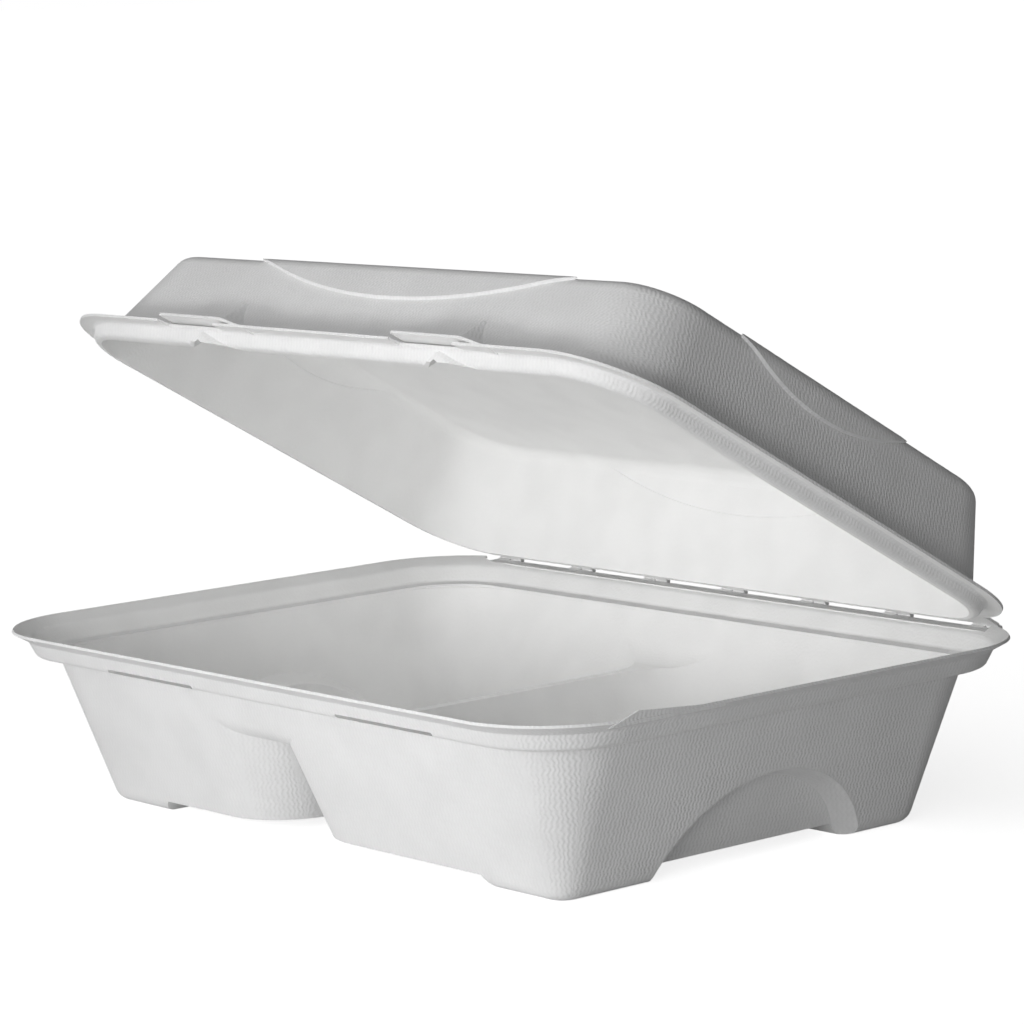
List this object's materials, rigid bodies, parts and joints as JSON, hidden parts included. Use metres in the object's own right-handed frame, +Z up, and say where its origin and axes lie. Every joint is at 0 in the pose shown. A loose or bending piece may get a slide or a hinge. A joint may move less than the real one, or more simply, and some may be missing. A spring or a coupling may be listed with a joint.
{
  "type": "moulded pulp clamshell food container",
  "caption": "Moulded pulp clamshell food container with a divided drafted base, a shallow flared lid on a perforated fold, front lock tabs and arched end recesses.",
  "frame": {"origin": "on the resting plane under the middle of the base", "axes": "+X along the fold to the right as seen from the front, +Y from the front locks to the fold at the back, +Z up"},
  "size_m": [0.229, 0.1706, 0.1412],
  "materials": {
    "pulp_base": "matte moulded pulp, screen-textured outside and smooth inside",
    "pulp_lid": "matte moulded pulp, screen-textured outside and smooth inside"
  },
  "bodies": {
    "base": {"base": "pulp_base"},
    "lid": {"lid": "pulp_lid"}
  },
  "joints": [
    {"name": "lid_hinge", "type": "hinge", "parent": "base", "child": "lid", "pos_m": [0, 0.08464, 0.0453], "axis": [-1, 0, 0], "range_deg": [-29.6, 150.4]}
  ]
}
